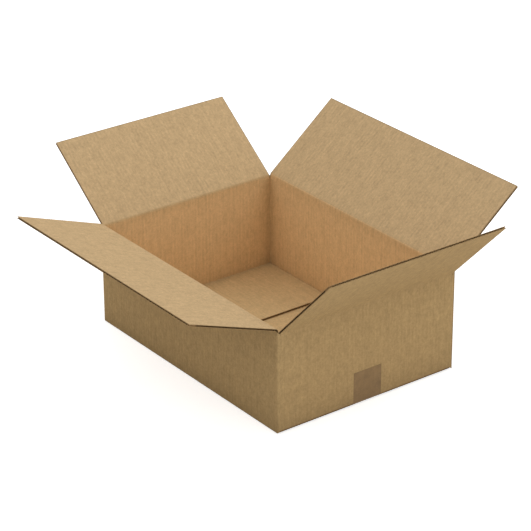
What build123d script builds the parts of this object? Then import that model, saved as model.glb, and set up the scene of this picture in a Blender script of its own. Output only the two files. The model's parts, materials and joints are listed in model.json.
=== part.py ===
# Open slotted carton: a shallow shipping box folded from one blank of single-wall corrugated board, with its
# bottom flaps taped shut and its four top flaps standing open. The box stands on the tape of its bottom seam.
# X runs along the length, Y across the width and Z up, with the origin under the middle of the bottom.
import os
from collections import namedtuple

from build123d import *

# Box sizes
inner_length = 430.0
inner_width = 310.0
inner_depth = 146.0
seam_gap = 10.0

# Board: two flat liners glued to a fluted middle sheet
board_thickness = 3.0
liner_thickness = 0.4
flute_wall = 0.4
flute_pitch = 6.5

# Folds and creases: the board is crushed along a fold, which leaves its outside almost sharp
fold_inner_radius = 0.5
fold_outer_radius = 1.5
crease_offset = 0.15
crease_gap = 0.3
crushed_band = 5.0

# Clearances between neighbouring flaps
layer_gap = 0.3
flap_side_clearance = 0.5

# Glued corner joint
glue_tab_width = 35.0
glue_tab_taper = 9.0

# Packing tape
tape_width = 50.0
tape_thickness = 0.1
tape_leg = 52.5

# How far each top flap leans out from upright, in degrees
front_flap_angle = 70.0
back_flap_angle = 51.0
left_flap_angle = 53.0
right_flap_angle = 44.0

# Outside of the walls
outer_length = inner_length + 2 * board_thickness
outer_width = inner_width + 2 * board_thickness

# Bottom flaps: the long pair lies outside on the tape, the short pair lies on top of it as the box floor
long_flap_bottom = tape_thickness
short_flap_bottom = long_flap_bottom + board_thickness + layer_gap
floor_height = short_flap_bottom + board_thickness

# Crease lines of the top flaps: the short flaps shut one board below the long ones
short_crease_height = floor_height + inner_depth + board_thickness + crease_offset
long_crease_height = short_crease_height + board_thickness + layer_gap

# Flaps: all four have one length, at which the long pair almost meets along the middle of the box
flap_reach = outer_width / 2 + crease_offset - seam_gap / 2
slot_inset = board_thickness + flap_side_clearance
long_flap_width = outer_length - 2 * slot_inset
short_flap_width = outer_width - 2 * slot_inset
root_setback = crease_offset + board_thickness + crease_gap

# The ring of walls stands between the bottom folds and the top creases. Its four corners run on through the
# slots that part the flaps, down to just above the floor and up to the crease of the short flaps.
ring_bottom = short_flap_bottom + fold_outer_radius
ring_top = short_crease_height - root_setback
corner_bottom = long_flap_bottom + layer_gap
corner_top = short_crease_height

upward = Vector(0, 0, 1)
BoxSide = namedtuple("BoxSide", "name outward outer_face crease_height flap_width flap_bottom flap_angle")
front_and_back = (outer_width / 2, long_crease_height, long_flap_width, long_flap_bottom)
left_and_right = (outer_length / 2, short_crease_height, short_flap_width, short_flap_bottom)
sides = [
    BoxSide("front", Vector(0, -1, 0), *front_and_back, front_flap_angle),
    BoxSide("back", Vector(0, 1, 0), *front_and_back, back_flap_angle),
    BoxSide("left", Vector(-1, 0, 0), *left_and_right, left_flap_angle),
    BoxSide("right", Vector(1, 0, 0), *left_and_right, right_flap_angle),
]


def section_plane(side, origin, tilt):
    """Plane across one wall, with its x axis tilted up by that many degrees from pointing out of the box."""
    along_wall = side.outward.cross(upward)
    tilted = side.outward.rotate(Axis((0, 0, 0), along_wall), tilt)
    return Plane(origin=origin, x_dir=tilted, z_dir=along_wall)


def wall_profile(side):
    """Section of a wall: bevelled under its top crease and folded at the foot into its bottom flap."""
    inner_face = side.outer_face - board_thickness
    free_edge = side.outer_face + crease_offset - flap_reach
    flap_top = side.flap_bottom + board_thickness
    with BuildSketch(section_plane(side, Vector(0, 0, 0), 0)) as section:
        with BuildLine():
            inner_foot = Line(
                (inner_face, side.crease_height - root_setback),
                (inner_face, flap_top + fold_inner_radius),
            )
            inner_fold = RadiusArc(
                inner_foot @ 1,
                (inner_face - fold_inner_radius, flap_top),
                fold_inner_radius,
            )
            flap = Polyline(
                inner_fold @ 1,
                (free_edge, flap_top),
                (free_edge, side.flap_bottom),
                (side.outer_face - fold_outer_radius, side.flap_bottom),
            )
            outer_fold = RadiusArc(
                flap @ 1,
                (side.outer_face, side.flap_bottom + fold_outer_radius),
                -fold_outer_radius,
            )
            Polyline(
                outer_fold @ 1,
                (side.outer_face, side.crease_height - crease_offset - crease_gap),
                inner_foot @ 0,
            )
        make_face()
    return section.sketch


# Folded body: walls, corner folds, glued joint and bottom flaps
with BuildPart() as box_body:
    with BuildSketch(Plane.XY.offset(ring_bottom)) as wall_ring:
        Rectangle(outer_length, outer_width)
        folded_corners = wall_ring.vertices().sort_by(lambda corner: corner.X + corner.Y)[:-1]
        fillet(folded_corners, fold_outer_radius)
        RectangleRounded(inner_length, inner_width, fold_inner_radius, mode=Mode.SUBTRACT)
    extrude(amount=ring_top - ring_bottom)
    with BuildSketch(Plane.XY.offset(corner_bottom)):
        add(wall_ring.sketch_local)
        Rectangle(inner_length, outer_width, mode=Mode.SUBTRACT)
        Rectangle(outer_length, inner_width, mode=Mode.SUBTRACT)
    extrude(amount=corner_top - corner_bottom)
    for side in sides:
        extrude(wall_profile(side), amount=side.flap_width / 2, both=True)

    # Tab of the back wall, folded in and glued behind the right wall, with tapered ends
    with BuildSketch(Plane.YZ.offset(inner_length / 2)):
        with BuildLine():
            tab_fold = inner_width / 2
            tab_edge = tab_fold - glue_tab_width
            Polyline(
                (tab_fold, ring_bottom),
                (tab_fold, ring_top),
                (tab_edge, ring_top - glue_tab_taper),
                (tab_edge, ring_bottom + glue_tab_taper),
                close=True,
            )
        make_face()
    extrude(amount=-board_thickness)

    # Groove outside that joint, between the round fold of the tab and the cut edge of the right wall
    with BuildSketch(Plane.XY.offset(ring_bottom)):
        groove_corner = (inner_length / 2, outer_width / 2)
        with Locations(groove_corner):
            Rectangle(fold_outer_radius, fold_outer_radius, align=(Align.MAX, Align.MAX))
        with Locations((inner_length / 2 - fold_outer_radius, outer_width / 2 - fold_outer_radius)):
            Circle(fold_outer_radius, mode=Mode.SUBTRACT)
    extrude(amount=ring_top - ring_bottom, mode=Mode.SUBTRACT)

box_body.part.label = "box_body"

# Top flaps: slabs bevelled at the crease, with the open ends of the flutes showing along the free edge
flute_depth = board_thickness - 2 * liner_thickness
flute_slope = (flute_depth**2 + (flute_pitch / 2) ** 2) ** 0.5
flute_web = flute_wall * flute_slope / flute_depth
channel_width = flute_pitch - flute_web
channel_height = flute_depth * channel_width / flute_pitch
channel_length = flap_reach - root_setback - crushed_band

top_flaps = []
for side in sides:
    hinge_point = side.outward * (side.outer_face + crease_offset) + upward * side.crease_height
    flap_plane = section_plane(side, hinge_point, 90 - side.flap_angle)
    edge_centre = flap_plane.from_local_coords((flap_reach, crease_offset + board_thickness / 2, 0))
    edge_plane = Plane(origin=edge_centre, x_dir=-flap_plane.z_dir, z_dir=flap_plane.x_dir)
    flute_count = int((side.flap_width - flute_web) / flute_pitch)
    with BuildPart() as top_flap:
        with BuildSketch(flap_plane):
            with BuildLine():
                Polyline(
                    (crease_offset + crease_gap, crease_offset),
                    (flap_reach, crease_offset),
                    (flap_reach, crease_offset + board_thickness),
                    (root_setback, crease_offset + board_thickness),
                    close=True,
                )
            make_face()
        extrude(amount=side.flap_width / 2, both=True)
        with BuildSketch(edge_plane):
            channel = [(-channel_width / 2, 0), (channel_width / 2, 0), (0, channel_height)]
            with Locations((0, -flute_depth / 2)):
                with GridLocations(flute_pitch, flute_pitch, flute_count, 1):
                    Polygon(*channel, align=None)
            with Locations((0, flute_depth / 2)):
                with GridLocations(flute_pitch, flute_pitch, flute_count - 1, 1):
                    Polygon(*channel, rotation=180, align=None)
        extrude(amount=-channel_length, mode=Mode.SUBTRACT)
    top_flap.part.label = f"{side.name}_flap"
    top_flaps.append(top_flap.part)

# Packing tape: one strip along the bottom seam, drawn tight over the flap ends and up both end walls
with BuildPart() as bottom_tape:
    with BuildSketch(Plane.XZ):
        with BuildLine():
            end_wall = outer_length / 2
            flap_end = long_flap_width / 2
            Polyline(
                (-end_wall, tape_leg),
                (-end_wall, short_flap_bottom),
                (-flap_end, long_flap_bottom),
                (flap_end, long_flap_bottom),
                (end_wall, short_flap_bottom),
                (end_wall, tape_leg),
            )
            offset(amount=tape_thickness, kind=Kind.INTERSECTION, side=Side.RIGHT)
        make_face()
    extrude(amount=tape_width / 2, both=True)

bottom_tape.part.label = "bottom_tape"

os.makedirs("parts", exist_ok=True)
for piece in [box_body.part, *top_flaps, bottom_tape.part]:
    export_step(piece, f"parts/{piece.label}.step")
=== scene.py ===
import json
import math
from collections import namedtuple

import bmesh
import bpy
import numpy as np
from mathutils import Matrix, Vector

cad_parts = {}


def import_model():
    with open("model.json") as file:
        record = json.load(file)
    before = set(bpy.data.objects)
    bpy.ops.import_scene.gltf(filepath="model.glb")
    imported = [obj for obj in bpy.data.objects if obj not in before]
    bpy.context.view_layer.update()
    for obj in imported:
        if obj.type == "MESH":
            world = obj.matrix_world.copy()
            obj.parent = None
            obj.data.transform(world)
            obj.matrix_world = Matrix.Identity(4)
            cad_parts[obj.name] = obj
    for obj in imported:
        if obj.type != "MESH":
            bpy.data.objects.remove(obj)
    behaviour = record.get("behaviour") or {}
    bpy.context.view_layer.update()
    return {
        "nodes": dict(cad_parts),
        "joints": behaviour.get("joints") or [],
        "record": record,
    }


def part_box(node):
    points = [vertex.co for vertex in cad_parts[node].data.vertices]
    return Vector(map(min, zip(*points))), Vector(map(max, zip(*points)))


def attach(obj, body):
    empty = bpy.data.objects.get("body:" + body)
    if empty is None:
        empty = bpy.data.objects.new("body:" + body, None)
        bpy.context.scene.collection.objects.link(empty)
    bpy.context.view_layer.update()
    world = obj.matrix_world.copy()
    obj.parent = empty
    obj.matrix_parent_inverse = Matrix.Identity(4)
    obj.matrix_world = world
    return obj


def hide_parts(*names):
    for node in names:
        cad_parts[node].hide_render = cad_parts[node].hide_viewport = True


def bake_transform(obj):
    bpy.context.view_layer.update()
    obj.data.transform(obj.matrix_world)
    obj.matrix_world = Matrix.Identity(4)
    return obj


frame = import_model()

# Corrugated board (all lengths are in metres)
liner_thickness = 0.0004
medium_thickness = 0.0004
flute_pitch = 0.0065
glue_share = 0.14
flank_steps = 5
flute_depth = 0.014
groove_depth = 0.0022
side_groove_depth = 0.006
side_lines = 2
rim_width = 0.0015
washboard_height = 0.00004

# Creases and folds
crease_gap = 0.0003
crushed_band = 0.010
fold_inner_radius = 0.0005
fold_steps = 8
bend_steps = 10
bend_tightness_share = 0.93
foot_pull_share = 1.0
corner_pull_share = 0.6
layer_gap = 0.0003
slot_lip = 0.0005
slot_share = 0.05

# How far a fold marks the board with wear and painted shade, and the painted shade on the floor by the
# walls
fold_wear_and_shade_width = 0.011
floor_shade_width = 0.014
floor_end_shade = 0.6
crease_wear_and_shade = 0.45

# Glued corner joint
glue_tab_width = 0.035
glue_tab_taper = 0.009
glue_line = 0.0001

# Tape
tape_bend_radius = 0.0012
tape_tooth_pitch = 0.0016
tape_tooth_height = 0.0005

# Camera from the straight edges of the box in the photo (degrees, lens and sensor in millimetres)
camera_aim = (-0.04790, 0.02052, 0.10486)
camera_distance = 3.4596
camera_azimuth = 53.172
camera_elevation = 25.768
camera_roll = -0.251
camera_lens = 158.17
camera_sensor = 36.0

# Angle between two faces, in degrees, from which their edge is drawn sharp
sharp_angle = 35

upward = np.array((0.0, 0.0, 1.0))
OUTSIDE, INSIDE, CUT, FLUTE = range(4)

# Sides of the box, read from the frame
BoardSide = namedtuple(
    "BoardSide",
    "name body node along outward hinge flap_way flap_normal near far reach half_width",
)


def read_side(joint):
    """One wall and its top flap: directions, hinge and sizes, from the joint and the flap's solid."""
    along = np.array(joint["axis"], float)
    outward = np.cross(along, upward)
    hinge = np.array(joint["pos_m"], float)
    node = frame["record"]["behaviour"]["bodies"][joint["child"]][0]
    mesh = frame["nodes"][node].data
    normal = np.array(max(mesh.polygons, key=lambda face: face.area).normal)
    normal *= np.sign(normal[2])
    flap_way = np.cross(normal, along)
    flap_way *= np.sign(flap_way @ outward)
    points = np.array([vertex.co for vertex in mesh.vertices]) - hinge
    depth = points @ normal
    return BoardSide(
        name=joint["name"].split("_")[0],
        body=joint["child"],
        node=node,
        along=along,
        outward=outward,
        hinge=hinge,
        flap_way=flap_way,
        flap_normal=normal,
        near=depth.min(),
        far=depth.max(),
        reach=(points @ flap_way).max(),
        half_width=(points @ along).max(),
    )


sides = {side.name: side for side in map(read_side, frame["joints"])}
body_low = np.array(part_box("box_body")[0])
tape_low, tape_high = (np.array(corner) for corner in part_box("bottom_tape"))
half_length = sides["right"].hinge[0] - sides["right"].near
half_width = sides["back"].hinge[1] - sides["back"].near
thickness = sides["front"].far - sides["front"].near
fold_reach = fold_inner_radius + thickness
root_setback = sides["front"].far + crease_gap
long_flap_bottom = body_low[2]
short_flap_bottom = long_flap_bottom + thickness + layer_gap
wall_top = sides["right"].hinge[2] - root_setback
wall_bottom = short_flap_bottom + fold_reach
corner_bottom = long_flap_bottom + layer_gap

# Place of each wall's middle on the flat blank, measured round the box from the glued joint
length, width = 2 * half_length, 2 * half_width
blank_middle = {
    "back": length / 2,
    "left": length + width / 2,
    "front": length + width + length / 2,
    "right": 2 * length + width + width / 2,
}


def smooth(share):
    """Smooth rise from 0 to 1."""
    share = np.clip(share, 0.0, 1.0)
    return share * share * (3 - 2 * share)


# Look of a crease: the share of its width where the painted light of the wall ends, the strength of its
# mark of wear and painted shade, and the share of its width where that mark ends
CreaseLook = namedtuple("CreaseLook", "tone_share mark mark_share")
long_crease = CreaseLook(tone_share=0.58, mark=crease_wear_and_shade, mark_share=0.45)
short_crease = CreaseLook(tone_share=0.5, mark=1.0, mark_share=0.78)
tone_width_share = 0.14
mark_rise_share = 0.55


def is_long(side):
    """Whether a side is the front or the back."""
    return abs(side.outward[1]) > abs(side.outward[0])


def fold_wear_and_shade(distance):
    """Wear and painted shade of a fold at that distance: full beside it, fading in a soft band."""
    return 1 / (1 + (distance / fold_wear_and_shade_width) ** 2)


# Shape of the board's middle sheet across the flutes
wave_tolerance = 1e-6


def flute_wave(place):
    """Height of the middle sheet at a place round the blank: 0 at the outer liner, 1 at the inner."""
    phase = np.abs((place / flute_pitch + 0.5) % 1.0 - 0.5)
    flank = (phase - glue_share / 2) / (0.5 - glue_share)
    wave = (1 - np.cos(np.pi * np.clip(flank, 0.0, 1.0))) / 2
    wave = np.where(wave < wave_tolerance, 0.0, wave)
    return np.where(wave > 1 - wave_tolerance, 1.0, wave)


def flute_places(start, end):
    """Places from start to end that follow every flute: the ends of its glue lines, and its flanks."""
    steps = np.linspace(glue_share / 2, 0.5 - glue_share / 2, flank_steps + 1)
    shares = np.concatenate([steps, 1 - steps[::-1]])
    flutes = np.arange(math.floor(start / flute_pitch) - 1, math.ceil(end / flute_pitch) + 1)
    places = (flutes[:, None] + shares[None, :]).ravel() * flute_pitch
    spare = flute_pitch * glue_share / 2
    inner = places[(places > start + spare) & (places < end - spare)]
    return np.concatenate([[start], inner, [end]])


def grooved_places(start, end):
    """The same, with two lines on each cut side, set apart from the middle sheet by a deep groove."""
    inner = flute_places(start + side_groove_depth, end - side_groove_depth)
    return np.concatenate([[start, start + rim_width], inner, [end - rim_width, end]])


def flap_places(side):
    """Places across a flap or its crease, from one cut side to the other."""
    middle = blank_middle[side.name]
    return grooved_places(middle - side.half_width, middle + side.half_width)


def grooved_core(places, first_row, last_row):
    """First and last grid lines of the filled middle, between two such grooves."""
    return side_lines, len(places) - 1 - side_lines, first_row, last_row


def washboarded(outer, inner, places, strength):
    """The two faces with the faint ribs of the flutes under the liners."""
    through = inner - outer
    through /= np.linalg.norm(through, axis=2, keepdims=True)
    rib = washboard_height * (2 * flute_wave(places)[:, None, None] - 1) * strength[..., None]
    return outer + through * rib, inner + through * rib


def board(name, outer, inner, blank, marks, core, places=None):
    """Mesh of a piece of board from the grids of its outer and inner face.
    core gives the first and last grid lines of the filled middle. Beyond it the liners stand free, and
    with places the fluted middle sheet shows between them past the last line along the flutes. There the
    crushed corners are filled too, so that no light shows through them.
    marks holds, for every grid point, the wear and painted shade, the mask of painted light, and the
    painted shade of the cut rim."""
    counts = outer.shape[0] - 1, outer.shape[1] - 1
    first_across, last_across, first_along, last_along = core
    through = inner - outer
    depth = np.linalg.norm(through, axis=2, keepdims=True)
    through = through / depth
    levels = [outer, outer + through * liner_thickness, inner - through * liner_thickness, inner]
    wave = None
    if places is not None:
        wave = flute_wave(places)
        room = depth - 2 * liner_thickness - medium_thickness
        low = levels[1] + through * room * wave[:, None, None]
        levels[2:2] = [low, low + through * medium_thickness]
    layers = len(levels) - 1

    def filled(i, j):
        """Which layers of a grid cell are solid."""
        if not (0 <= i < counts[0] and 0 <= j < counts[1]):
            return [False] * layers
        across = first_across <= i < last_across
        if across and first_along <= j < last_along:
            return [True] * layers
        at_side = i in (first_across - 1, first_across, last_across - 1, last_across)
        if wave is not None and at_side and last_along <= j < counts[1] - 1:
            return [True] * layers
        if wave is None or not across or j < last_along:
            return [True] + [False] * (layers - 2) + [True]
        glued_low = wave[i] == 0 and wave[i + 1] == 0
        glued_high = wave[i] == 1 and wave[i + 1] == 1
        return [True, glued_low, True, glued_high, True]

    corners, grid, index, faces, finishes = [], [], {}, [], []

    def corner(level, i, j):
        if wave is not None and level == 2 and wave[i] == 0:
            level = 1
        if wave is not None and level == 3 and wave[i] == 1:
            level = 4
        key = level, i, j
        if key not in index:
            index[key] = len(corners)
            corners.append(levels[level][i, j])
            grid.append((i, j))
        return index[key]

    def face(finish, *keys):
        found = [corner(*key) for key in keys]
        kept = [here for here, before in zip(found, found[-1:] + found[:-1]) if here != before]
        if len(kept) > 2:
            faces.append(kept)
            finishes.append(finish)

    def wall(here, beside, first, second):
        """Faces where two neighbouring cells differ, on the grid edge from first to second."""
        for layer in range(layers):
            if here[layer] != beside[layer]:
                finish = CUT if layer in (0, layers - 1) else FLUTE
                above = layer + 1
                face(finish, (layer, *first), (layer, *second), (above, *second), (above, *first))

    for i in range(counts[0] + 1):
        for j in range(counts[1] + 1):
            here = filled(i, j)
            if i < counts[0] and j < counts[1]:
                for level in range(layers + 1):
                    below = level > 0 and here[level - 1]
                    above = level < layers and here[level]
                    if below != above:
                        finish = {0: OUTSIDE, layers: INSIDE}.get(level, FLUTE)
                        round_cell = (i, j), (i + 1, j), (i + 1, j + 1), (i, j + 1)
                        face(finish, *((level, *point) for point in round_cell))
            if j < counts[1]:
                wall(here, filled(i - 1, j), (i, j), (i, j + 1))
            if i < counts[0]:
                wall(here, filled(i, j - 1), (i, j), (i + 1, j))

    across, along = np.array(grid).T
    return finished_mesh(name, corners, faces, finishes, blank[across, along], marks[across, along])


def new_object(name, data):
    made = bpy.data.objects.new(name, data)
    bpy.context.scene.collection.objects.link(made)
    return made


def finished_mesh(name, corners, faces, finishes, blank, marks):
    """Object from plain lists, with its places on the flat blank as a UV map and marks as attributes."""
    mesh = bpy.data.meshes.new(name)
    mesh.from_pydata([tuple(point) for point in corners], [], faces)
    mesh.polygons.foreach_set("material_index", finishes)
    used = np.empty(len(mesh.loops), np.int32)
    mesh.loops.foreach_get("vertex_index", used)
    mesh.uv_layers.new(name="blank").uv.foreach_set("vector", blank[used].astype(np.float32).ravel())
    for mark, values in zip(("wear", "shelter", "rim"), marks.T):
        attribute = mesh.attributes.new(mark, "FLOAT", "POINT")
        attribute.data.foreach_set("value", np.ascontiguousarray(values, np.float32))
    shape = bmesh.new()
    shape.from_mesh(mesh)
    bmesh.ops.recalc_face_normals(shape, faces=shape.faces)
    shape.to_mesh(mesh)
    shape.free()
    mesh.shade_smooth()
    mesh.set_sharp_from_angle(angle=math.radians(sharp_angle))
    return new_object(name, mesh)


# Pieces of the blank that hang on one wall
Row = namedtuple("Row", "outer inner blank strength wear shelter rim")


def swept_board(name, side, rows, places, core, fluted=False, side_rim=1.0, end_shade=0.0):
    """Board with a straight section along one wall: rows are points of the section, outward and up.
    side_rim darkens its two cut sides with painted shade, and end_shade is how strongly painted shade
    from the walls beside them darkens its ends."""
    middle = blank_middle[side.name]
    across = (places - middle)[:, None, None] * side.along

    def grid(points):
        points = np.array(points)
        return across + points[None, :, :1] * side.outward + points[None, :, 1:] * upward

    strength = np.broadcast_to([row.strength for row in rows], (len(places), len(rows)))
    outer, inner = washboarded(
        grid([row.outer for row in rows]), grid([row.inner for row in rows]), places, strength
    )
    blank = np.empty((len(places), len(rows), 2))
    blank[..., 0] = places[:, None]
    blank[..., 1] = [row.blank for row in rows]
    marks = np.empty((len(places), len(rows), 3))
    marks[:] = [(row.wear, row.shelter, row.rim) for row in rows]
    from_end = np.minimum(places - places[0], places[-1] - places)
    marks[..., 0] = np.maximum(marks[..., 0], end_shade * np.exp(-from_end / floor_shade_width)[:, None])
    marks[[0, -1], :, 2] = side_rim
    return board(name, outer, inner, blank, marks, core, places if fluted else None)


def flat_section(side, vector):
    """Outward and upward parts of a vector."""
    return np.array((vector @ side.outward, vector @ upward))


def top_flap(side):
    """The flat part of a top flap, from just past its crease to its free edge."""
    hinge = flat_section(side, side.hinge)
    way = flat_section(side, side.flap_way)
    normal = flat_section(side, side.flap_normal)
    reaches = [
        root_setback,
        root_setback + crushed_band / 3,
        root_setback + crushed_band,
        side.reach / 2,
        side.reach - flute_depth,
        side.reach - rim_width,
        side.reach,
    ]
    rows = [
        Row(
            outer=hinge + way * reach + normal * side.near,
            inner=hinge + way * reach + normal * side.far,
            blank=side.hinge[2] + reach,
            strength=smooth((reach - root_setback) / crushed_band),
            wear=0.0,
            shelter=0.0,
            rim=float(reach == side.reach),
        )
        for reach in reaches
    ]
    places = flap_places(side)
    core = grooved_core(places, 0, len(rows) - 3)
    return swept_board(f"{side.name}_top_flap", side, rows, places, core, fluted=True)


def bezier(start, start_pull, end_pull, end, share):
    rest = 1 - share
    return (
        start * rest**3
        + start_pull * 3 * rest**2 * share
        + end_pull * 3 * rest * share**2
        + end * share**3
    )


def folded(centre, first, second, share, pull_share):
    """Points of the outer and inner face of a square fold, from one direction to another.
    pull_share is how far the outer face is drawn towards a sharp corner."""
    start, end = centre + first * fold_reach, centre + second * fold_reach
    corner = start + second * fold_reach
    start_pull = start + (corner - start) * pull_share
    end_pull = end + (corner - end) * pull_share
    turn = share * math.pi / 2
    ray = first * math.cos(turn) + second * math.sin(turn)
    return bezier(start, start_pull, end_pull, end, share), centre + ray * fold_inner_radius


def crease_face(side, offset, share):
    """Point of the bent outer or inner face of a crease, at that distance from the fold line."""
    hinge = flat_section(side, side.hinge)
    way = flat_section(side, side.flap_way)
    normal = flat_section(side, side.flap_normal)
    rise = np.array((0.0, 1.0))
    start = hinge + np.array((-offset, -root_setback))
    end = hinge + way * root_setback + normal * offset
    half_turn = math.acos(np.clip(way @ rise, -1.0, 1.0)) / 2
    pull = (root_setback + offset * math.tan(half_turn)) * bend_tightness_share
    return bezier(start, start + rise * pull, end - way * pull, end, share)


def crease(side):
    """The crushed strip of board that bends between a wall and its top flap."""
    shares = np.linspace(0.0, 1.0, bend_steps + 1)
    look = long_crease if is_long(side) else short_crease

    def before(end_share, share):
        """1 up to a share of the crease's width and 0 past it, with a soft step between."""
        return 1 - smooth((share - end_share) / tone_width_share + 0.5)

    def wear_and_shade_level(share):
        """Wear and painted shade across the crease, which rise from the wall and stop where their mark
        ends.
        """
        rise = smooth(share / mark_rise_share)
        return (crease_wear_and_shade / 2 + (look.mark - crease_wear_and_shade / 2) * rise) * before(look.mark_share, share)

    wall_end = side.hinge[2] - root_setback
    rows = []
    if wall_end > wall_top + layer_gap:
        hinge = flat_section(side, side.hinge)
        rows.append(
            Row(
                outer=np.array((hinge[0] - side.near, wall_top)),
                inner=np.array((hinge[0] - side.far, wall_top)),
                blank=wall_top,
                strength=0.0,
                wear=crease_wear_and_shade / 2,
                shelter=1.0,
                rim=0.0,
            )
        )
    for share in shares:
        rows.append(
            Row(
                outer=crease_face(side, side.near, share),
                inner=crease_face(side, side.far, share),
                blank=wall_end + 2 * root_setback * share,
                strength=0.0,
                wear=wear_and_shade_level(share),
                shelter=before(look.tone_share, share),
                rim=0.0,
            )
        )
    places = flap_places(side)
    core = grooved_core(places, 0, len(rows) - 1)
    made = swept_board(f"{side.name}_crease", side, rows, places, core)
    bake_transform(made)
    return made


def bottom_flap(side):
    """The foot of a wall, folded in, and its bottom flap with the fluted free edge."""
    flap_bottom = long_flap_bottom if is_long(side) else short_flap_bottom
    hinge = flat_section(side, side.hinge)
    face = hinge[0] - side.near
    free_edge = hinge[0] - side.reach
    centre = np.array((face - fold_reach, flap_bottom + fold_reach))
    rows = []
    if wall_bottom > centre[1] + layer_gap:
        rows.append(
            Row(
                outer=np.array((face, wall_bottom)),
                inner=np.array((face - thickness, wall_bottom)),
                blank=wall_bottom,
                strength=0.0,
                wear=0.0,
                shelter=1.0,
                rim=0.0,
            )
        )
    outward, down = np.array((1.0, 0.0)), np.array((0.0, -1.0))
    for share in np.linspace(0.0, 1.0, fold_steps + 1):
        outer, inner = folded(centre, outward, down, share, foot_pull_share)
        rows.append(
            Row(
                outer=outer,
                inner=inner,
                blank=centre[1] - 2 * share * fold_reach,
                strength=0.0,
                wear=0.0,
                shelter=1 - share,
                rim=0.0,
            )
        )
    fold_end = rows[-1]
    full_run = fold_end.outer[0] - free_edge
    for run in (crushed_band, full_run / 2, full_run - flute_depth, full_run - rim_width, full_run):
        inwards = np.array((-run, 0.0))
        rows.append(
            Row(
                outer=fold_end.outer + inwards,
                inner=fold_end.inner + inwards,
                blank=fold_end.blank - run,
                strength=smooth(run / crushed_band),
                wear=0.0,
                shelter=0.0,
                rim=float(run == full_run),
            )
        )
    places = flap_places(side)
    core = grooved_core(places, 0, len(rows) - 3)
    return swept_board(
        f"{side.name}_bottom_flap",
        side,
        rows,
        places,
        core,
        fluted=True,
        side_rim=0.0,
        end_shade=floor_end_shade,
    )


# Walls: one strip of board from the glue tab round the box to the cut end of the right wall
Station = namedtuple("Station", "outer inner blank strength wear low high")


def wall_run(side, start, end):
    """Stations along one flat wall, from one place along it to another.
    The right wall ends in a cut, not in a fold."""
    face = half_width if is_long(side) else half_length
    middle = blank_middle[side.name]
    stations = []
    for place in flute_places(middle + start, middle + end):
        run = (place - middle) * side.along
        from_start = abs(place - middle - start)
        from_fold = min(from_start, abs(place - middle - end))
        stations.append(
            Station(
                outer=(run + side.outward * face)[:2],
                inner=(run + side.outward * (face - thickness))[:2],
                blank=place,
                strength=smooth(from_fold / crushed_band),
                wear=fold_wear_and_shade(from_start if side.name == "right" else from_fold),
                low=wall_bottom,
                high=wall_top,
            )
        )
    return stations


def wall_fold(centre, first, second, blank_start, blank_end, tops, lows):
    """Stations round one vertical corner fold, from just past one end to just before the other."""
    stations = []
    shares = np.linspace(0.0, 1.0, fold_steps + 1)
    shares[[0, -1]] = slot_share, 1 - slot_share
    for share in shares:
        outer, inner = folded(centre, first, second, share, corner_pull_share)
        stations.append(
            Station(
                outer=outer,
                inner=inner,
                blank=blank_start + (blank_end - blank_start) * share,
                strength=0.0,
                wear=1.0,
                low=lows[0] + (lows[1] - lows[0]) * share,
                high=tops[0] + (tops[1] - tops[0]) * share,
            )
        )
    return stations


def glue_tab(centre):
    """Stations of the tab behind the right wall, from its tapered edge to its fold."""
    stations = []
    for run in np.linspace(glue_tab_width - fold_inner_radius, 0.0, fold_steps):
        taper = glue_tab_taper * run / glue_tab_width
        stations.append(
            Station(
                outer=centre + np.array((fold_reach, -run)),
                inner=centre + np.array((fold_inner_radius, -run)),
                blank=-run - fold_reach,
                strength=0.0,
                wear=fold_wear_and_shade(run),
                low=wall_bottom + taper,
                high=wall_top - taper,
            )
        )
    edge = stations[0]
    behind = edge._replace(
        outer=edge.outer + np.array((0.0, groove_depth)),
        inner=edge.inner + np.array((0.0, groove_depth)),
        blank=edge.blank + groove_depth,
    )
    return [edge, behind] + stations[1:]


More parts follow.
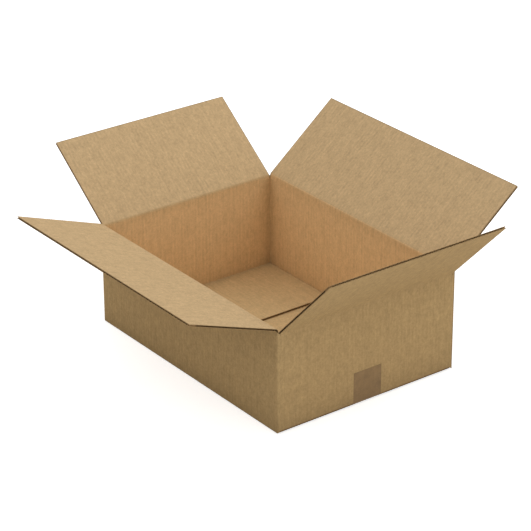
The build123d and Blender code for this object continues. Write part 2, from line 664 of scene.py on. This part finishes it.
def walls():
    """The four walls with their corner folds and the glue tab, as one strip."""
    x, y = half_length - fold_reach, half_width - fold_reach
    tab_x = x - thickness - glue_line
    stations = glue_tab(np.array((tab_x, y)))
    long_top, short_top = (sides[name].hinge[2] - slot_lip for name in ("back", "right"))
    long_to_short = (long_top, short_top), (corner_bottom, short_flap_bottom)
    short_to_long = (short_top, long_top), (short_flap_bottom, corner_bottom)
    folds = [
        ("back", "right", (tab_x, y), -tab_x, x, (wall_top, wall_top), (wall_bottom, wall_bottom)),
        ("left", "back", (-x, y), -y, y, *long_to_short),
        ("front", "left", (-x, -y), -x, x, *short_to_long),
        ("right", "front", (x, -y), -y, y, *long_to_short),
    ]
    for name, last_name, centre, start, end, tops, lows in folds:
        run = wall_run(sides[name], start, end)
        first, second = sides[last_name].outward[:2], sides[name].outward[:2]
        before = stations[-1].blank
        stations += wall_fold(np.array(centre), first, second, before, run[0].blank, tops, lows)
        stations += run
    last = stations[-1]._replace(wear=0.0)
    for share in (slot_share, 1 - groove_depth / fold_reach, 1.0):
        beyond = share * fold_reach
        step = np.array((0.0, beyond))
        stations.append(
            last._replace(
                outer=last.outer + step,
                inner=last.inner + step,
                blank=last.blank + beyond,
                low=short_flap_bottom + (corner_bottom - short_flap_bottom) * share,
                high=short_top + (long_top - short_top) * share,
            )
        )

    # Rows of points up the walls, and how strongly the ribs show in each
    heights = np.array((0.0, groove_depth, crushed_band))
    rises = np.array([np.concatenate([s.low + heights, s.high - heights[::-1]]) for s in stations])
    ribbed = np.array((0.0, 0.0, 1.0, 1.0, 0.0, 0.0))
    shape = len(stations), len(ribbed)

    def grid(points):
        made = np.empty((*shape, 3))
        made[..., :2] = np.array(points)[:, None, :]
        made[..., 2] = rises
        return made

    places = np.array([s.blank for s in stations])
    strength = np.array([s.strength for s in stations])[:, None] * ribbed
    outer, inner = washboarded(
        grid([s.outer for s in stations]), grid([s.inner for s in stations]), places, strength
    )
    blank = np.stack([np.broadcast_to(places[:, None], shape), rises], axis=2)
    marks = np.zeros((*shape, 3))
    marks[..., 0] = np.array([s.wear for s in stations])[:, None]
    marks[:, -2:, 0] = np.maximum(marks[:, -2:, 0], crease_wear_and_shade / 2)
    marks[..., 1] = 1.0
    marks[[0, -1], :, 2] = 1.0
    core = 1, len(stations) - 2, 1, len(ribbed) - 2
    return board("box_walls", outer, inner, blank, marks, core)


# Packing tape along the bottom seam
def tape_path():
    """Outer line of the tape, in X and Z: down one leg, under the box and up the other leg."""
    flap_end = sides["front"].half_width
    corners = [
        (tape_high[0], tape_high[2]),
        (tape_high[0], short_flap_bottom),
        (flap_end, tape_low[2]),
    ]
    corners += [(-x, z) for x, z in corners[::-1]]
    corners = [np.array(point) for point in corners]
    path = [corners[0]]
    for before, here, after in zip(corners, corners[1:], corners[2:]):
        way_in = (here - before) / np.linalg.norm(here - before)
        way_out = (after - here) / np.linalg.norm(after - here)
        start, end = here - way_in * tape_bend_radius, here + way_out * tape_bend_radius
        for share in np.linspace(0.0, 1.0, fold_steps + 1):
            path.append(bezier(start, (start + here) / 2, (end + here) / 2, end, share))
    path.append(corners[-1])
    return np.array(path)


def tape():
    """The strip of tape, with toothed ends."""
    path = tape_path()
    steps = np.gradient(path, axis=0)
    steps /= np.linalg.norm(steps, axis=1, keepdims=True)
    inward = np.stack([steps[:, 1], -steps[:, 0]], axis=1)
    film = tape_high[0] - half_length
    run = np.concatenate([[0.0], np.cumsum(np.linalg.norm(np.diff(path, axis=0), axis=1))])
    teeth = int(round((tape_high[1] - tape_low[1]) / tape_tooth_pitch))
    across = np.linspace(tape_low[1], tape_high[1], 2 * teeth + 1)
    tooth = np.where(np.arange(len(across)) % 2, tape_tooth_height, 0.0)
    corners, faces, blank = [], [], []
    for level in (0.0, film):
        line = path + inward * level
        for i, y in enumerate(across):
            for j, (x, z) in enumerate(line):
                at_end = j in (0, len(line) - 1)
                corners.append((x, y, z - tooth[i] * at_end))
                blank.append((y, run[j] - tape_high[2]))
    rows, columns = len(across), len(path)
    under = rows * columns

    def corner(i, j):
        return i * columns + j

    def rim(first, second):
        faces.append([first, second, second + under, first + under])

    for i in range(rows - 1):
        for j in range(columns - 1):
            quad = [corner(i, j), corner(i + 1, j), corner(i + 1, j + 1), corner(i, j + 1)]
            faces.append(quad)
            faces.append([k + under for k in quad])
        rim(corner(i, 0), corner(i + 1, 0))
        rim(corner(i, columns - 1), corner(i + 1, columns - 1))
    for j in range(columns - 1):
        rim(corner(0, j), corner(0, j + 1))
        rim(corner(rows - 1, j), corner(rows - 1, j + 1))
    marks = np.zeros((len(corners), 3))
    return finished_mesh("seam_tape", corners, faces, [0] * len(faces), np.array(blank), marks)


# Materials: painted shade towards the foot of the walls and under the top flaps, and how strongly
# the wear and painted shade of the folds and the painted shade along the cut rims show
foot_shade_height = 0.018
foot_shade_floor_factor = 1.6
foot_shade_depth = 0.28
flap_shadow_height = 0.025
fold_darkening_share = 0.5
fold_darkening_grain_share = 0.4
rim_share = 0.9
rim_shade = 0.42

# Noise over the flat blank, squeezed across or along the flutes
Noise = namedtuple("Noise", "across along scale detail roughness")
cloud_noise = Noise(1.0, 1.0, 45.0, 3.0, 0.6)
mottle_noise = Noise(1.0, 0.7, 115.0, 2.0, 0.5)
pulp_noise = Noise(1.0, 0.8, 270.0, 2.0, 0.6)
grain_noise = Noise(1.0, 0.6, 800.0, 3.0, 0.7)
streak_noise = Noise(1.0, 0.05, 300.0, 3.0, 0.6)
patch_noise = Noise(1.0, 0.4, 60.0, 2.0, 0.5)
fibre_noise = Noise(0.16, 1.0, 1500.0, 2.0, 0.6)
film_cloud_noise = Noise(1.0, 1.0, 60.0, 3.0, 0.6)
film_drawn_noise = Noise(1.0, 0.02, 900.0, 2.0, 0.5)
film_speck_noise = Noise(1.0, 1.0, 900.0, 3.0, 0.65)

# Noise through space, for cut paper
fuzz_noise = {"Scale": 1400.0, "Detail": 3.0, "Roughness": 0.7}
soft_noise = {"Scale": 160.0, "Detail": 2.0}

# Stray fibres: where in the noise they start and are full, how strongly they show, and their shade
Fibre = namedtuple("Fibre", "start full share shade")
dark_fibre = Fibre(start=0.62, full=0.74, share=0.40, shade=0.6)
pale_fibre = Fibre(start=0.36, full=0.26, share=0.35, shade=1.3)

# Tones of a paper or film: where in the noise it is darkest and palest, and the shades there
Tones = namedtuple("Tones", "low dark high pale")
cut_tones = Tones(low=0.25, dark=0.72, high=0.75, pale=1.25)
film_tones = Tones(low=0.3, dark=0.72, high=0.7, pale=1.26)

# Weights of the noises in the tone and the relief
cut_soft_tone = 0.4
cut_fuzz_tone = 0.6
film_drawn_tone = 0.15
film_cloud_tone = 0.4
film_speck_tone = 0.45
grain_relief = 0.8
fibre_relief = 0.5
streak_relief = 0.5
film_cloud_relief = 1.0
film_drawn_relief = 0.4
film_rib_relief = 0.3

# Surfaces: least roughness and what unevenness adds to it, shine, and strength and depth of the relief
Finish = namedtuple("Finish", "roughness uneven specular bump depth")
kraft_finish = Finish(roughness=0.8, uneven=0.16, specular=0.06, bump=0.35, depth=0.00012)
cut_finish = Finish(roughness=0.88, uneven=0.1, specular=0.15, bump=0.5, depth=0.0001)
film_finish = Finish(roughness=0.42, uneven=0.2, specular=0.3, bump=0.25, depth=0.0002)


def shade(colour, factor):
    return tuple(part * factor for part in colour)


class Graph:
    """Short way to add and join the nodes of one material."""

    def __init__(self, name):
        self.material = bpy.data.materials.new(name)
        self.material.use_nodes = True
        self.tree = self.material.node_tree
        self.surface = self.tree.nodes["Principled BSDF"]

    def add(self, kind, sockets=None, **settings):
        node = self.tree.nodes.new(kind)
        for name, value in settings.items():
            setattr(node, name, value)
        self.join(node, sockets or {})
        return node

    def join(self, node, sockets):
        for key, value in sockets.items():
            if isinstance(value, bpy.types.NodeSocket):
                self.tree.links.new(value, node.inputs[key])
            else:
                node.inputs[key].default_value = value

    def math(self, operation, *values):
        return self.add("ShaderNodeMath", dict(enumerate(values)), operation=operation).outputs[0]

    def blank(self, across=1.0, along=1.0):
        """Place on the flat blank in metres, squeezed across or along the flutes."""
        place = self.add("ShaderNodeUVMap", uv_map="blank").outputs[0]
        return self.add(
            "ShaderNodeVectorMath", {0: place, 1: (across, along, 1.0)}, operation="MULTIPLY"
        ).outputs[0]

    def noise(self, kind):
        sockets = {
            "Vector": self.blank(kind.across, kind.along),
            "Scale": kind.scale,
            "Detail": kind.detail,
            "Roughness": kind.roughness,
        }
        return self.add("ShaderNodeTexNoise", sockets, noise_dimensions="2D").outputs[0]

    def ribs(self, across):
        """Waves between -1 and 1 that repeat with the flutes."""
        return self.math("COSINE", self.math("MULTIPLY", across, 2 * math.pi / flute_pitch))

    def mark(self, name):
        return self.add("ShaderNodeAttribute", attribute_name=name).outputs["Fac"]

    def weighted(self, *layers, start=0.0):
        """Sum of layers, each a value and its weight."""
        total = start
        for value, weight in layers:
            total = self.math("MULTIPLY_ADD", value, weight, total)
        return total

    def around_one(self, *layers):
        """A factor that varies about 1, from layers of a value between 0 and 1 and its weight."""
        return self.weighted(*layers, start=1 - sum(weight for _, weight in layers) / 2)

    def scaled(self, colour, factor):
        return self.add("ShaderNodeVectorMath", {0: colour, 1: factor}, operation="MULTIPLY").outputs[0]

    def grime(self, height):
        """Painted shade: a factor that falls below 1 towards the foot of a wall, from the height on the
        blank.
        """
        away = self.math("MAXIMUM", height, self.math("MULTIPLY", height, -foot_shade_floor_factor))
        near = self.math("EXPONENT", self.math("DIVIDE", away, -foot_shade_height))
        return self.math("MULTIPLY_ADD", near, -foot_shade_depth, 1.0)

    def ramp(self, value, *stops):
        node = self.add("ShaderNodeValToRGB", {0: value})
        elements = node.color_ramp.elements
        while len(elements) < len(stops):
            elements.new(0.5)
        for element, (position, colour) in zip(elements, stops):
            element.position = position
            element.color = (*colour, 1.0)
        return node.outputs[0]

    def mix(self, share, first, second):
        node = self.add("ShaderNodeMix", data_type="RGBA")
        self.join(node, {0: share, 6: first, 7: second})
        return node.outputs[2]

    def toned(self, value, colour, tones):
        """The colour, darker where the value is low and paler where it is high."""
        dark, pale = shade(colour, tones.dark), shade(colour, tones.pale)
        return self.ramp(value, (tones.low, dark), (0.5, colour), (tones.high, pale))

    def fibres(self, value, fibre):
        """How strongly one kind of stray fibre shows."""
        stops = (fibre.start, (0.0,) * 3), (fibre.full, (fibre.share,) * 3)
        return self.ramp(value, *sorted(stops))

    def finish(self, look, base, uneven, height):
        """The finished material, from its colour, what makes its roughness uneven, and its relief."""
        relief = {"Strength": look.bump, "Distance": look.depth, "Height": height}
        bump = self.add("ShaderNodeBump", relief)
        self.join(self.surface, {
            "Base Color": base,
            "Roughness": self.math("MULTIPLY_ADD", uneven, look.uneven, look.roughness),
            "Specular IOR Level": look.specular,
            "Normal": bump.outputs[0],
        })
        return self.material


# How strongly each kind of unevenness shows in a liner, the share of its streaks that shows on the open
# flaps, and the depth of the painted shadow of the top flap just below its crease
Texture = namedtuple("Texture", "cloud mottle pulp grain streaks ribs open_share crease_grime")


def kraft(name, colour, painted_light, fold_wear_and_shade_colour, texture):
    """Kraft liner: cloudy pulp, fine grain and stray fibres, with streaks and faint ribs along the
    flutes, a lighter colour on the walls as painted light, wear and painted shade along the folds,
    painted shade along the cut edges, painted shade towards the foot of the walls and a painted
    shadow under the top flaps."""
    graph = Graph(name)
    wear_and_shade_level = graph.mark("wear")
    shelter = graph.mark("shelter")
    rim = graph.mark("rim")
    cloud = graph.noise(cloud_noise)
    mottle = graph.noise(mottle_noise)
    pulp = graph.noise(pulp_noise)
    grain = graph.noise(grain_noise)
    streak = graph.noise(streak_noise)
    patch = graph.noise(patch_noise)
    place = graph.add("ShaderNodeSeparateXYZ", {0: graph.blank()})
    rib = graph.ribs(place.outputs[0])
    lines = graph.math("MULTIPLY", graph.math("SUBTRACT", streak, 0.5), texture.streaks)
    lines = graph.math("MULTIPLY_ADD", graph.math("MULTIPLY", rib, patch), texture.ribs, lines)
    showing = graph.math("MULTIPLY_ADD", shelter, 1 - texture.open_share, texture.open_share)
    lines = graph.math("MULTIPLY", lines, showing)
    uneven = graph.around_one(
        (cloud, texture.cloud), (mottle, texture.mottle), (pulp, texture.pulp), (grain, texture.grain)
    )
    tone = graph.math("ADD", lines, uneven)
    # Painted light: the inside walls take a lighter copy of the liner colour than the flaps
    liner = graph.mix(shelter, (*colour, 1.0), (*painted_light, 1.0))
    fold_darkening = graph.math("MULTIPLY_ADD", grain, fold_darkening_grain_share, fold_darkening_share)
    # Wear and painted shade along the folds: darker in the inside corners, creases and at the floor's
    # ends
    liner = graph.mix(graph.math("MULTIPLY", wear_and_shade_level, fold_darkening), liner, (*fold_wear_and_shade_colour, 1.0))
    # Painted shade: the liner darkens along its cut edges
    liner = graph.mix(graph.math("MULTIPLY", rim, rim_share), liner, (*shade(colour, rim_shade), 1.0))
    # Painted shade towards the foot of the walls
    tone = graph.math("MULTIPLY", tone, graph.grime(place.outputs[1]))
    # Painted shadow of the top flap on the wall just below its crease
    below_crease = graph.math("SUBTRACT", place.outputs[1], sides["right"].hinge[2])
    painted_flap_shadow = graph.math("EXPONENT", graph.math("DIVIDE", below_crease, flap_shadow_height))
    painted_flap_shadow = graph.math("MULTIPLY", painted_flap_shadow, shelter)
    painted_flap_shadow = graph.math("MULTIPLY", painted_flap_shadow, -texture.crease_grime)
    tone = graph.math("MULTIPLY_ADD", tone, painted_flap_shadow, tone)
    base = graph.scaled(liner, tone)
    fibre = graph.noise(fibre_noise)
    for kind, tint in ((dark_fibre, colour), (pale_fibre, painted_light)):
        base = graph.mix(graph.fibres(fibre, kind), base, (*shade(tint, kind.shade), 1.0))
    height = graph.weighted((grain, grain_relief), (fibre, fibre_relief), (streak, streak_relief))
    return graph.finish(kraft_finish, base, grain, height)


def cut_paper(name, colour):
    """Raw edge or inside of a paper layer: short torn fibres, no finish."""
    graph = Graph(name)
    place = graph.add("ShaderNodeTexCoord").outputs["Object"]
    fuzz = graph.add("ShaderNodeTexNoise", {"Vector": place, **fuzz_noise}).outputs[0]
    soft = graph.add("ShaderNodeTexNoise", {"Vector": place, **soft_noise}).outputs[0]
    tone = graph.weighted((soft, cut_soft_tone), (fuzz, cut_fuzz_tone))
    return graph.finish(cut_finish, graph.toned(tone, colour, cut_tones), fuzz, fuzz)


def film(name, colour):
    """Brown packing tape: film with faint drawn lines and specks, over the ribs of the board,
    darker towards the foot of the box with painted shade.
    """
    graph = Graph(name)
    cloud = graph.noise(film_cloud_noise)
    drawn = graph.noise(film_drawn_noise)
    specks = graph.noise(film_speck_noise)
    tone = graph.weighted((drawn, film_drawn_tone), (cloud, film_cloud_tone), (specks, film_speck_tone))
    place = graph.add("ShaderNodeSeparateXYZ", {0: graph.blank()})
    # Painted shade towards the foot of the box
    base = graph.scaled(graph.toned(tone, colour, film_tones), graph.grime(place.outputs[1]))
    rib = graph.ribs(place.outputs[0])
    height = graph.weighted(
        (cloud, film_cloud_relief), (drawn, film_drawn_relief), (rib, film_rib_relief)
    )
    return graph.finish(film_finish, base, specks, height)


# Liner colours: the inside walls and the floor take lighter copies of the inner liner colour as painted
# light
outer_colour = (0.454, 0.305, 0.141)
inner_colour = (0.562, 0.396, 0.214)
inside_painted_light_colour = (0.748, 0.512, 0.266)
floor_painted_light_colour = (0.676, 0.484, 0.249)
inner_fold_wear_and_shade_colour = (0.49, 0.335, 0.165)
cut_colour = (0.40, 0.26, 0.12)
flute_colour = (0.32, 0.20, 0.09)
tape_colour = (0.245, 0.148, 0.060)
outer_texture = Texture(
    cloud=0.16,
    mottle=0.26,
    pulp=0.36,
    grain=0.22,
    streaks=0.22,
    ribs=0.03,
    open_share=1.0,
    crease_grime=0.08,
)
inner_texture = Texture(
    cloud=0.14,
    mottle=0.20,
    pulp=0.28,
    grain=0.18,
    streaks=0.24,
    ribs=0.04,
    open_share=0.7,
    crease_grime=0.03,
)
flap_texture = Texture(
    cloud=0.16,
    mottle=0.23,
    pulp=0.38,
    grain=0.25,
    streaks=0.29,
    ribs=0.05,
    open_share=0.7,
    crease_grime=0.03,
)
outer_kraft = kraft("kraft_outer", outer_colour, outer_colour, outer_colour, outer_texture)
inner_kraft = kraft("kraft_inner", inner_colour, inside_painted_light_colour, inner_fold_wear_and_shade_colour, inner_texture)
flap_kraft = kraft("kraft_flap", inner_colour, inside_painted_light_colour, inner_fold_wear_and_shade_colour, flap_texture)
floor_kraft = kraft("kraft_floor", floor_painted_light_colour, inside_painted_light_colour, inner_fold_wear_and_shade_colour, inner_texture)
cut_edge = cut_paper("kraft_cut_edge", cut_colour)
flute_paper = cut_paper("kraft_flute", flute_colour)
tape_film = film("tape_film", tape_colour)


def dress(piece, slot, *materials):
    for material in materials:
        piece.data.materials.append(material)


# The object
ring = walls()
dress(ring, "kraft_board", outer_kraft, inner_kraft, cut_edge, flute_paper)
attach(ring, "box")
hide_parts("box_body")
for side in sides.values():
    foot = bottom_flap(side)
    dress(foot, "kraft_board", outer_kraft, floor_kraft, cut_edge, flute_paper)
    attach(foot, "box")
    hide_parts("box_body")
    flap = top_flap(side)
    dress(flap, "kraft_board", outer_kraft, flap_kraft, cut_edge, flute_paper)
    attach(flap, side.body)
    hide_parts(side.node)
    bend = crease(side)
    dress(bend, "kraft_board", outer_kraft, inner_kraft, cut_edge, flute_paper)
strip = tape()
dress(strip, "packing_tape", tape_film)
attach(strip, "box")
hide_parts("bottom_tape")

# Floor
floor_size = 60.0
floor_drop = 0.0003
stage_colour = (0.82, 0.82, 0.82, 1.0)
stage_glow = 0.64


def background_rays(nodes, links):
    """1 for rays that should see the plain background: from the camera, reflected or through glass."""
    path = nodes.new("ShaderNodeLightPath")
    share = path.outputs["Is Camera Ray"]
    for name in ("Is Glossy Ray", "Is Transmission Ray"):
        either = nodes.new("ShaderNodeMath")
        either.operation = "MAXIMUM"
        links.new(share, either.inputs[0])
        links.new(path.outputs[name], either.inputs[1])
        share = either.outputs[0]
    return share


def floor():
    """Wide floor that looks plain white and takes a faint shadow."""
    mesh = bpy.data.meshes.new("floor")
    half = floor_size / 2
    corners = [(-half, -half), (half, -half), (half, half), (-half, half)]
    mesh.from_pydata([(x, y, -floor_drop) for x, y in corners], [], [(0, 1, 2, 3)])
    made = new_object("floor", mesh)
    material = bpy.data.materials.new("floor_white")
    material.use_nodes = True
    nodes, links = material.node_tree.nodes, material.node_tree.links
    nodes.clear()
    output = nodes.new("ShaderNodeOutputMaterial")
    diffuse = nodes.new("ShaderNodeBsdfDiffuse")
    diffuse.inputs["Color"].default_value = stage_colour
    glow = nodes.new("ShaderNodeEmission")
    strength = nodes.new("ShaderNodeMath")
    strength.operation = "MULTIPLY"
    strength.inputs[1].default_value = stage_glow
    links.new(background_rays(nodes, links), strength.inputs[0])
    links.new(strength.outputs[0], glow.inputs["Strength"])
    both = nodes.new("ShaderNodeAddShader")
    links.new(diffuse.outputs[0], both.inputs[0])
    links.new(glow.outputs[0], both.inputs[1])
    links.new(both.outputs[0], output.inputs["Surface"])
    mesh.materials.append(material)


# Light: an even pale surround and large soft lamps round the box, the strongest above and behind it
surround_strength = 0.52
lamp_size = 2.4
lamp_distance = 3.0
lamp_aim = Vector((0.0, 0.0, 0.12))
Lamp = namedtuple("Lamp", "name outward elevation power")
lamps = [
    Lamp("back_key", (0, 1), 45, 25.0),
    Lamp("back_low", (0, 1), 15, 7.0),
    Lamp("right_low", (1, 0), 15, 20.2),
    Lamp("left_fill", (-1, 0), 45, 15.0),
    Lamp("front_fill", (0, -1), 45, 14.0),
]


def light():
    """The surround and the lamps."""
    world = bpy.data.worlds.new("surround")
    bpy.context.scene.world = world
    world.use_nodes = True
    nodes, links = world.node_tree.nodes, world.node_tree.links
    background = nodes["Background"]
    background.inputs["Color"].default_value = (1.0, 1.0, 1.0, 1.0)
    strength = nodes.new("ShaderNodeMix")
    strength.inputs["A"].default_value = surround_strength
    strength.inputs["B"].default_value = 1.0
    links.new(background_rays(nodes, links), strength.inputs["Factor"])
    links.new(strength.outputs["Result"], background.inputs["Strength"])

    for lamp in lamps:
        data = bpy.data.lights.new(lamp.name, "AREA")
        data.shape = "DISK"
        data.size = lamp_size
        data.energy = lamp.power
        made = new_object(lamp.name, data)
        rise = math.radians(lamp.elevation)
        level = math.cos(rise)
        back = Vector((lamp.outward[0] * level, lamp.outward[1] * level, math.sin(rise)))
        made.location = lamp_aim + back * lamp_distance
        made.rotation_euler = (-back).to_track_quat("-Z", "Y").to_euler()


def camera():
    """Camera that sees the box as the photo does."""
    data = bpy.data.cameras.new("camera")
    data.lens = camera_lens
    data.sensor_width = camera_sensor
    made = new_object("camera", data)
    turn, rise = math.radians(camera_azimuth), math.radians(camera_elevation)
    level = math.cos(rise)
    back = Vector((math.sin(turn) * level, -math.cos(turn) * level, math.sin(rise)))
    made.location = Vector(camera_aim) + back * camera_distance
    look = (-back).to_track_quat("-Z", "Y")
    roll = Matrix.Rotation(math.radians(camera_roll), 4, "Z")
    made.rotation_euler = (look.to_matrix().to_4x4() @ roll).to_euler()
    bpy.context.scene.camera = made


floor()
light()
camera()
bpy.context.scene.view_settings.view_transform = "Standard"
